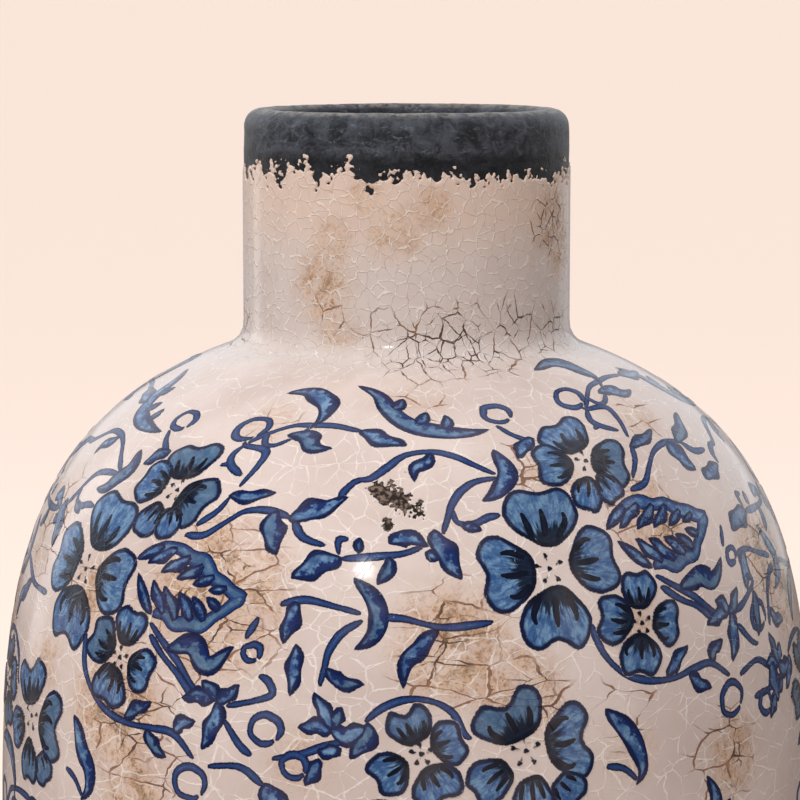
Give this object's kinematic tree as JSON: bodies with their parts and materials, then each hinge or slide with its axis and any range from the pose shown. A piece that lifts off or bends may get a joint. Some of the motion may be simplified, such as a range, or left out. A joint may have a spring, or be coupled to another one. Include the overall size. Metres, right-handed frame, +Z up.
{
  "type": "vase",
  "caption": "Free-standing pottery vase with a straight neck, a broad rounded body, a dark worn rim and a blue floral pattern under crackle glaze.",
  "frame": {"origin": "centre of the circle that the foot ring stands on", "axes": "+Z up along the vase's axis, from the foot to the lip; +X and +Y are any two directions across it, since the solids are turned round +Z"},
  "size_m": [0.226, 0.226, 0.32],
  "materials": {
    "dark_clay": "bare fired clay, matt, dark brown",
    "rim_slip": "charcoal slip, satin, mottled and worn",
    "crackle_glaze": "glossy cream crackle glaze with tan and brown stains",
    "liner_glaze": "thin dark glaze, satin",
    "cobalt_blue": "hand-painted cobalt blue under the glaze, with darker outlines"
  },
  "bodies": {
    "root": {"foot_ring": "dark_clay", "bowl": "dark_clay", "shoulder": "dark_clay", "neck_collar": "dark_clay", "rim": "rim_slip", "outer_glaze": "crackle_glaze", "liner_glaze": "liner_glaze"}
  },
  "joints": []
}
